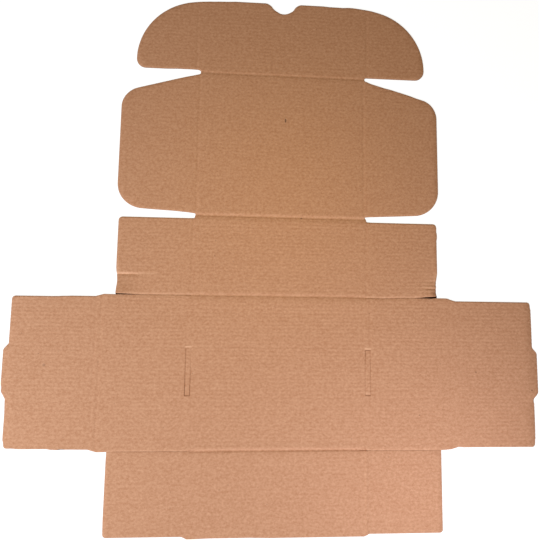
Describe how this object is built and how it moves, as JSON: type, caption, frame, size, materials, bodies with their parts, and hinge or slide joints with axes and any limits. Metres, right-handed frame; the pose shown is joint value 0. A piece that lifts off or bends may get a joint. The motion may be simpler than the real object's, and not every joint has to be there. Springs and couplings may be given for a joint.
{
  "type": "flattened corrugated mailer box",
  "caption": "Die-cut mailer box blank in thin corrugated board, opened out flat: tuck flap with ears, lid with wings, back, bottom, roll-over sides and front.",
  "frame": {"origin": "middle of the blank's outline, on the outer face that lies on the table", "axes": "+X to the right-hand side wall, along the flutes; +Y from the front wall to the tuck flap; +Z out of the creased inner face, upwards"},
  "size_m": [0.4804, 0.4908, 0.0016],
  "materials": {
    "board": "uncoated brown kraft paper, matt"
  },
  "bodies": {
    "root": {"box_blank": "board"}
  },
  "joints": []
}
